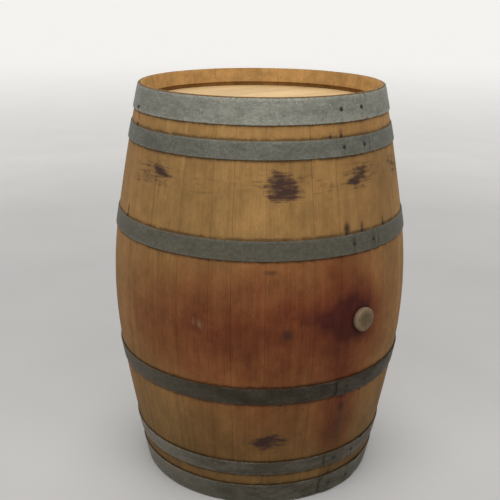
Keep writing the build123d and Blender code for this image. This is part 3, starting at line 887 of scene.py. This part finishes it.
def bore(points, faces, finish_of_face, ring, parts, columns, section):
    """Opens the tapered bung hole: the mesh round it is laid again as rings between a square and the hole."""
    width = len(columns)
    near_columns = [j for j, phi in enumerate(columns) if abs(np.radians(phi)) * BILGE < HOLE_PATCH]
    near_rows = {}
    for face in ("outside", "inside"):
        near = [i for i, (r, z) in enumerate(ring) if parts[i] == face and abs(z - BUNG_Z) < HOLE_PATCH]
        near_rows[face] = sorted(near, key=lambda i: ring[i, 1])
    patches = []
    for rows in near_rows.values():
        inner = {i * width + j for i in rows for j in near_columns}
        patches.append(inner)
    kept = [k for k, face in enumerate(faces) if not any(set(face) <= patch for patch in patches)]
    faces = [faces[k] for k in kept]
    finish_of_face = [finish_of_face[k] for k in kept]

    left, right = near_columns[0], near_columns[-1]
    borders = []
    for rows in near_rows.values():
        border = [(rows[0], j) for j in near_columns[:-1]]
        border += [(i, right) for i in rows[:-1]]
        border += [(rows[-1], j) for j in near_columns[:0:-1]]
        border += [(i, left) for i in rows[:0:-1]]
        borders.append([i * width + j for i, j in border])
    outer_square, inner_square = (points[border] for border in borders)
    turn = np.arctan2(outer_square[:, 2] - BUNG_Z, outer_square[:, 0])

    def on_face(x, z, radius_at):
        return np.column_stack([x, -np.sqrt(radius_at(z) ** 2 - x**2), z])

    def on_hole(y, wider):
        radius = hole_radius(y) + wider
        return np.column_stack([radius * np.cos(turn), y, BUNG_Z + radius * np.sin(turn)])

    def face_ring(radius_at, wider):
        ring_points = on_hole(np.full_like(turn, -BILGE), wider)
        for _ in range(3):
            ring_points = on_face(ring_points[:, 0], ring_points[:, 2], radius_at)
            ring_points = on_hole(ring_points[:, 1], wider)
        return ring_points

    mouth = face_ring(section.outer_radius, END_EASE)
    throat = face_ring(section.inner_radius, 0.5 * MM)
    rings = []
    for share in np.linspace(0, 1, PATCH_RINGS + 1)[1:-1]:
        flat = outer_square * (1 - share) + mouth * share
        rings.append((on_face(flat[:, 0], flat[:, 2], section.outer_radius), "outside"))
    rings += [(mouth, "outside")]
    for deep, wider in ((0.25 * MM, 0.25 * MM), (0.9 * MM, 0.0)):
        rings.append((on_hole(mouth[:, 1] + deep, wider), "hole"))
    for share in np.linspace(0, 1, PATCH_RINGS + 1)[1:-1]:
        rings.append((on_hole(mouth[:, 1] * (1 - share) + throat[:, 1] * share, 0.0), "hole"))
    rings += [(on_hole(throat[:, 1] - 0.6 * MM, 0.0), "hole"), (throat, "hole")]
    for share in np.linspace(1, 0, PATCH_RINGS + 1)[1:-1]:
        flat = inner_square * (1 - share) + throat * share
        rings.append((on_face(flat[:, 0], flat[:, 2], section.inner_radius), "inside"))
    previous = borders[0]
    for ring_points, part in [*rings, (None, "inside")]:
        if ring_points is None:
            current = borders[1]
        else:
            current = list(range(len(points), len(points) + len(ring_points)))
            points = np.vstack([points, ring_points])
        count = len(current)
        for k in range(count):
            following = (k + 1) % count
            faces.append((previous[k], previous[following], current[following], current[k]))
            finish_of_face.append(PARTS.index(part))
        previous = current
    return points, faces, finish_of_face


# ---- Hoops ----
Band = namedtuple("Band", "foot up out height thickness lap_phi half_lap way")


def read_band(node):
    """A hoop's section, and the place and way round of its lap, from its CAD mesh and its rivets."""
    low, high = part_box(node + "_rivets")
    middle = (low + high) / 2
    lap_phi = math.degrees(math.atan2(middle.x, -middle.y))
    radius, phi, z = cad_polar(node)
    aside = turned_from(phi, lap_phi)
    plain = np.column_stack([radius, z])[(np.abs(aside) > 50) & (np.abs(aside) < 170)]
    centre = plain.mean(0)
    axes = np.linalg.svd(plain - centre, full_matrices=False)[2]
    up = axes[0] * np.sign(axes[0][1])
    out = np.array([up[1], -up[0]])
    a, b = (plain - centre) @ up, (plain - centre) @ out
    a, b = a / np.ptp(a), b / np.ptp(b)
    foot, top, outer = plain[np.argmin(a + b)], plain[np.argmax(a - b)], plain[np.argmax(b - a)]
    height = np.linalg.norm(top - foot)
    up = (top - foot) / height
    out = np.array([up[1], -up[0]])
    thickness = (outer - foot) @ out
    risen = (np.column_stack([radius, z]) - foot) @ out > thickness + 1 * MM
    start, end = aside[risen].min(), aside[risen].max()
    way = 1 if end < -start else -1
    return Band(foot, up, out, height, thickness, lap_phi, min(end, -start), way)


def make_hoop(name, tint, soil):
    """A hoop that replaces its CAD node: one band that runs round, climbs its own start and ends over it."""
    band = read_band(name)
    mean_radius = band.foot[0] + band.up[0] * band.height / 2
    degree = math.degrees(1 / mean_radius)
    corner = HOOP_CORNERS[name]
    from_end = np.array([0.0, 0.03, 0.08, 0.16, 0.27, 0.4, 0.55, 0.75, 1.0]) * corner
    whole = 360 + 2 * band.half_lap
    plain_end = whole - degree * corner
    travel = np.append(np.linspace(0, plain_end, HOOP_ROWS)[:-1], whole - degree * from_end[::-1])
    rise = LAP_RISE * smoothstep(360 - LAP_RAMP, 360, travel)
    phi = band.lap_phi + band.way * (travel - band.half_lap)
    left_over = np.clip(1 - (whole - travel) / degree / corner, 0, 1)
    half = band.height / 2
    share = 1 - corner * (1 - np.sqrt(1 - left_over**2)) / half

    long_faces = np.linspace(HOOP_EDGE, band.height - HOOP_EDGE, 9)
    turn = np.radians(np.linspace(0, 90, 4))
    section = [(h, 0.0) for h in long_faces[1:-1:2]]
    section += [(band.height - HOOP_EDGE * (1 - math.sin(t)), HOOP_EDGE * (1 - math.cos(t))) for t in turn]
    section += [(band.height - HOOP_EDGE * (1 - math.cos(t)), band.thickness - HOOP_EDGE * (1 - math.sin(t)))
                for t in turn]
    section += [(h, band.thickness) for h in long_faces[-2:0:-1]]
    section += [(HOOP_EDGE * (1 - math.sin(t)), band.thickness - HOOP_EDGE * (1 - math.cos(t))) for t in turn]
    section += [(HOOP_EDGE * (1 - math.cos(t)), HOOP_EDGE * (1 - math.sin(t))) for t in turn]
    up, out = np.array(section).T

    phase = 2 * math.pi * dice.random(6)
    turned = np.radians(phi)
    wave = sum(np.sin((k + 3) * turned + phase[k]) for k in range(3)) / 3
    swell = HOOP_SWELL * (1 + wave)[:, None] * np.sin(np.pi * np.clip(up / band.height, 0, 1))
    jagged = sum(np.sin(rate * turned + start) for rate, start in zip((61, 97, 143), phase[3:]))
    nicks = np.clip(jagged - 1.6, 0, 1)
    at_edge = np.clip(1 - np.minimum(up, band.height - up) / (2 * MM), 0, 1) * np.sign(half - up)
    centred = (up - half) * share[:, None] + HOOP_NICK * nicks[:, None] * at_edge
    lifted = out + rise[:, None] + swell * (out > band.thickness / 2)
    radius = band.foot[0] + band.up[0] * (half + centred) + band.out[0] * lifted
    z = band.foot[1] + band.up[1] * (half + centred) + band.out[1] * lifted
    x, y = on_circle(radius, phi[:, None])
    points = np.column_stack([x.ravel(), y.ravel(), z.ravel()])

    rows, width = len(travel), len(section)
    faces = tube_faces(rows, width)
    faces += [list(range(width)), list(range((rows - 1) * width, rows * width))[::-1]]

    arc = np.broadcast_to(turned[:, None] * mean_radius, z.shape)
    run = np.broadcast_to(phi[:, None], z.shape)
    aside = turned_from(run, SOIL_PHI) / SOIL_WIDE
    soiled = soil * np.exp(-0.5 * np.abs(aside) ** 3)
    # Painted shade and dirt on the band just past the end of its lap, where the lap's step shades it.
    past_end = (travel - 2 * band.half_lap) / degree
    beside = np.where(past_end > -corner, bell(np.maximum(past_end, 0) / LAP_SHADE_AND_DIRT), 0.0)
    lap_end_shade_and_dirt = 0.9 * (beside * (travel < 180))[:, None]
    rivets = bell((np.abs(turned_from(run, band.lap_phi)) - RIVET_ASIDE * degree) * 1.2)
    edge = np.broadcast_to(np.clip(1 - np.minimum(up, band.height - up) / (2.2 * MM), 0, 1), z.shape)
    dirt = soiled + lap_end_shade_and_dirt + 0.3 * rivets
    own = dice.random()
    fields = {
        "band": np.column_stack([arc.ravel(), (centred + half).ravel(), np.full(z.size, 5 * own)]),
        "tint": np.tile(tint, (z.size, 1)),
        "wear": np.column_stack([edge.ravel(), np.full(z.size, 1 - soil), dirt.ravel()]),
    }
    return make_piece("steel_" + name, points, faces, [HOOP_STEEL], [0] * len(faces), fields,
                      "barrel", [name])


HOOP_SWELL = 0.08 * MM
HOOP_NICK = 0.5 * MM
LAP_SHADE_AND_DIRT = 4 * MM               # reach of the painted shade and dirt beside the end of a lap
SOIL_PHI = -20.0                # where wine has run down over the lower hoops
SOIL_WIDE = 48.0
HOOP_STEEL = make_hoop_steel()
# Each hoop's colour and how much wine and tannin has browned it.
HOOP_LOOKS = {
    "top_head_hoop": ((0.200, 0.200, 0.168), 0.0),
    "top_quarter_hoop": ((0.126, 0.124, 0.102), 0.15),
    "top_bilge_hoop": ((0.110, 0.102, 0.078), 0.40),
    "bottom_bilge_hoop": ((0.098, 0.083, 0.060), 1.0),
    "bottom_quarter_hoop": ((0.190, 0.172, 0.138), 1.0),
    "bottom_head_hoop": ((0.172, 0.160, 0.128), 0.80),
}

# ---- The bung ----
BUNG_SEGMENTS = 96
BUNG_EASE = 1.0 * MM
DISH_DEPTH = 0.5 * MM           # wear in the middle of the bung's face
DISH_RADIUS = 15 * MM


def bung_profile():
    """The outline of the CAD bung as (radius, y), from the middle of its outer face to that of its inner."""
    mesh = nodes["bung"].data
    rows = {(round(math.hypot(v.co.x, v.co.z - BUNG_Z), 5), round(v.co.y, 5)) for v in mesh.vertices}
    front, back = min(y for _, y in rows), max(y for _, y in rows)
    face = max(p for p in rows if p[1] < front + TOUCH)
    shoulder = max(rows)
    tail = max(p for p in rows if p[1] > back - TOUCH)
    return [(0.0, front), face, shoulder, tail, (0.0, back)]


SECTION = Section("stave_04")
BILGE = float(SECTION.outer_radius(MIDDLE))
BUNG_LINE = bung_profile()
BUNG_TAPER = (BUNG_LINE[2][0] - BUNG_LINE[3][0]) / (BUNG_LINE[3][1] - BUNG_LINE[2][1])
BUNG_ROOM = 0.35 * MM           # between the bung and its hole
BUNG_MOUTH = BUNG_LINE[2][0] - (-BUNG_LINE[2][1] - BILGE) * BUNG_TAPER + BUNG_ROOM


def make_bung():
    """The bung, with worn corners and a slightly dished face."""
    line = divide(ease_corners(BUNG_LINE, BUNG_EASE), 3 * MM)[1:-1]
    turns = 2 * math.pi * np.arange(BUNG_SEGMENTS) / BUNG_SEGMENTS
    radius, y = np.array(line).T
    front = y.min()
    ragged = 1 - 0.006 * (1 + np.sin(5 * turns + 1) * np.sin(9 * turns)) / 2
    radii = radius[:, None] * ragged
    x = radii * np.cos(turns)
    z = BUNG_Z + radii * np.sin(turns)
    dish = DISH_DEPTH * bell(radius / DISH_RADIUS) * (y < front + 0.1 * MM)
    depth = np.broadcast_to((y + dish)[:, None], x.shape)
    points = np.column_stack([x.ravel(), depth.ravel(), z.ravel()])
    rows = len(line)
    faces = tube_faces(rows, BUNG_SEGMENTS)
    faces += [list(range(BUNG_SEGMENTS)), list(range((rows - 1) * BUNG_SEGMENTS, rows * BUNG_SEGMENTS))]
    across = np.hypot(points[:, 0], points[:, 2] - BUNG_Z)
    # The rim is paler all round, and palest at its upper left, where that is a painted highlight.
    upper_left_highlight = 0.5 - (points[:, 0] - (points[:, 2] - BUNG_Z)) / (4 * BUNG_LINE[1][0])
    rim = smoothstep(BUNG_LINE[1][0] * 0.45, BUNG_LINE[1][0], across) * (0.35 + 0.65 * upper_left_highlight)
    sunk = smoothstep(-BILGE - 5 * MM, -BILGE + 1 * MM, points[:, 1])
    fields = {
        "grain": np.column_stack([points[:, 0], points[:, 2] - BUNG_Z, points[:, 1]]),
        "wear": np.column_stack([rim, sunk, np.zeros(len(points))]),
    }
    return make_piece("wooden_bung", points, faces, [make_bung_wood()], [0] * len(faces), fields,
                      "bung", ["bung"])


# ---- Making the barrel ----
HOOP_SPANS = [tuple(corner.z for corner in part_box(name)) for name in HOOP_LOOKS]
for name in sorted(n for n in nodes if n.startswith("stave_")) + ["bung_stave"]:
    make_stave(name, SECTION)
for name, (tint, soil) in HOOP_LOOKS.items():
    make_hoop(name, tint, soil)
make_bung()


def dress(node, finish, bevel=0.0):
    """A CAD node that stays: its vertices welded, its edges eased, and its own material."""
    piece = nodes[node]
    weld = piece.modifiers.new("weld", "WELD")
    weld.merge_threshold = TOUCH
    if bevel:
        ease = piece.modifiers.new("ease", "BEVEL")
        ease.width = bevel
        ease.segments = 2
        ease.limit_method = "ANGLE"
        ease.angle_limit = math.radians(35)
        ease.harden_normals = False
    for holder in piece.material_slots:
        holder.material = finish


HEAD_OAK = make_head_oak()
DOWEL_WOOD = make_dowel_wood()
RIVET_STEEL = make_small_iron("rivet_steel", (0.010, 0.009, 0.008), (0.045, 0.040, 0.034), 0.5)
NAIL_IRON = make_small_iron("nail_iron", (0.014, 0.009, 0.007), (0.060, 0.034, 0.022), 0.25)
for name in nodes:
    if "head_board" in name:
        nodes[name]["board"] = float(int(name[-1]) + (6 if name.startswith("top") else 0))
        nodes[name]["joint_low"], nodes[name]["joint_high"] = (corner.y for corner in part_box(name))
        dress(name, HEAD_OAK, 0.5 * MM)
    elif name.endswith("dowels"):
        dress(name, DOWEL_WOOD)
    elif name.endswith("rivets"):
        dress(name, RIVET_STEEL, 0.3 * MM)
    elif name.endswith("nails"):
        dress(name, NAIL_IRON, 0.5 * MM)

# ---- Floor, light and camera ----
FLOOR_RADIUS = 120.0
FLOOR_SIDES = 96
GLOW_SPAN = (2.2, 11.0)         # distances between which the floor's own light comes up
FLOOR_DROP = 0.4 * MM
# The floor's paleness by distance from the barrel's axis, in metres: painted shade round the barrel, and the
# floor painted brighter far off.
FLOOR_PAINTED_TONES = ((0.0, 0.53), (0.5, 0.53), (0.8, 0.49), (1.6, 0.49),
               (2.5, 0.60), (3.9, 0.90), (6.5, 0.95), (36.0, 0.96))
FLOOR_GLOW = 0.29               # how much light the far floor gives of its own, a painted glow standing in for a lit sweep far behind


def make_floor():
    """A plain pale floor that runs out of sight, greyer round the barrel with painted shade, painted brighter
    far off and glowing there with light of its own.
    """
    paint = Paint("floor")
    place = paint.node("ShaderNodeTexCoord").outputs["Object"]
    length = paint.node("ShaderNodeVectorMath", operation="LENGTH")
    paint.feed(place, length.inputs[0])
    base = FLOOR_PAINTED_TONES[-1][0] + 1
    reach = paint.math("LOGARITHM", paint.math("ADD", length.outputs["Value"], 1.0), base)
    stops = [(math.log(d + 1, base), (tone, tone * 0.985, tone * 0.97)) for d, tone in FLOOR_PAINTED_TONES]
    # Painted shade round the barrel, and the floor painted brighter far off.
    colour = paint.ramp(reach, *stops)
    mottle = paint.noise(place, scale=3.0, detail=4.0)
    colour = paint.vary(colour, mottle, 0.985, 1.015)
    paint.finish(colour, paint.span(mottle, 0.3, 0.7, 0.75, 0.85), mottle, 0.2 * MM, specular=0.2)
    # A painted glow on the far floor.
    paint.shader.inputs["Emission Color"].default_value = (1.0, 0.99, 0.97, 1.0)
    glow = paint.span(length.outputs["Value"], *GLOW_SPAN, 0.0, FLOOR_GLOW)
    paint.feed(glow, paint.shader.inputs["Emission Strength"])
    turns = np.linspace(0, 2 * math.pi, FLOOR_SIDES + 1)[:-1]
    mesh = bpy.data.meshes.new("floor")
    rim = [(FLOOR_RADIUS * math.cos(t), FLOOR_RADIUS * math.sin(t), -FLOOR_DROP) for t in turns]
    mesh.from_pydata(rim, [], [tuple(range(len(rim)))])
    mesh.materials.append(paint.material)
    floor = bpy.data.objects.new("floor", mesh)
    bpy.context.scene.collection.objects.link(floor)


def add_softbox(name, azimuth, distance, height, size, power):
    """A wide soft lamp at an azimuth from the camera's side, aimed at the upper half of the barrel."""
    lamp = bpy.data.lights.new(name, "AREA")
    lamp.shape = "RECTANGLE"
    lamp.size, lamp.size_y = size
    lamp.energy = power
    softbox = bpy.data.objects.new(name, lamp)
    bpy.context.scene.collection.objects.link(softbox)
    x, y = on_circle(distance, CAMERA_PHI + azimuth)
    softbox.location = (float(x), float(y), height)
    aim = Vector((0, 0, 0.6 * HEIGHT)) - softbox.location
    softbox.rotation_euler = aim.to_track_quat("-Z", "Y").to_euler()


CAMERA_PHI = -39.8              # the side of the barrel the photo was taken from
CAMERA_DISTANCE = 1.991
CAMERA_HEIGHT = 1.184
CAMERA_DOWN = 18.09             # degrees below level
CAMERA_ASIDE = -0.67            # degrees to the left of the axis
CAMERA_ROLL = 0.52
CAMERA_LENS = 60.62


def add_camera():
    """The camera at the photo's viewing angle."""
    data = bpy.data.cameras.new("camera")
    data.lens = CAMERA_LENS
    data.sensor_width = 36.0
    camera = bpy.data.objects.new("camera", data)
    bpy.context.scene.collection.objects.link(camera)
    x, y = on_circle(CAMERA_DISTANCE, CAMERA_PHI)
    turn = Matrix.Rotation(math.radians(CAMERA_PHI - CAMERA_ASIDE), 4, "Z")
    tip = Matrix.Rotation(math.radians(90 - CAMERA_DOWN), 4, "X")
    roll = Matrix.Rotation(math.radians(CAMERA_ROLL), 4, "Z")
    camera.matrix_world = Matrix.Translation((float(x), float(y), CAMERA_HEIGHT)) @ turn @ tip @ roll
    bpy.context.scene.camera = camera


make_floor()
add_softbox("key", 0.0, 1.35, 2.35, (3.4, 1.2), 38.0)
add_softbox("back", 180.0, 1.6, 2.5, (3.4, 1.2), 24.0)
add_camera()


def make_studio():
    """Soft light from all round, with a bright band along the horizon where the floor's sweep ends."""
    sky = bpy.data.worlds.new("studio")
    sky.use_nodes = True
    tree = sky.node_tree
    background = tree.nodes["Background"]
    direction = tree.nodes.new("ShaderNodeTexCoord")
    parts = tree.nodes.new("ShaderNodeSeparateXYZ")
    level = tree.nodes.new("ShaderNodeMapRange")
    level.interpolation_type = "SMOOTHSTEP"
    tree.links.new(direction.outputs["Generated"], parts.inputs[0])
    tree.links.new(parts.outputs[2], level.inputs[0])
    for socket, number in zip(level.inputs[1:5], (SKY_BAND[0], SKY_BAND[1], HORIZON_LIGHT, SKY_LIGHT)):
        socket.default_value = number
    tree.links.new(level.outputs[0], background.inputs["Strength"])
    background.inputs["Color"].default_value = (1.0, 0.99, 0.97, 1.0)
    bpy.context.scene.world = sky


SKY_LIGHT = 0.64
HORIZON_LIGHT = 0.97
SKY_BAND = (0.03, 0.16)         # heights of the direction between which the band fades
make_studio()
bpy.context.scene.view_settings.view_transform = "Standard"
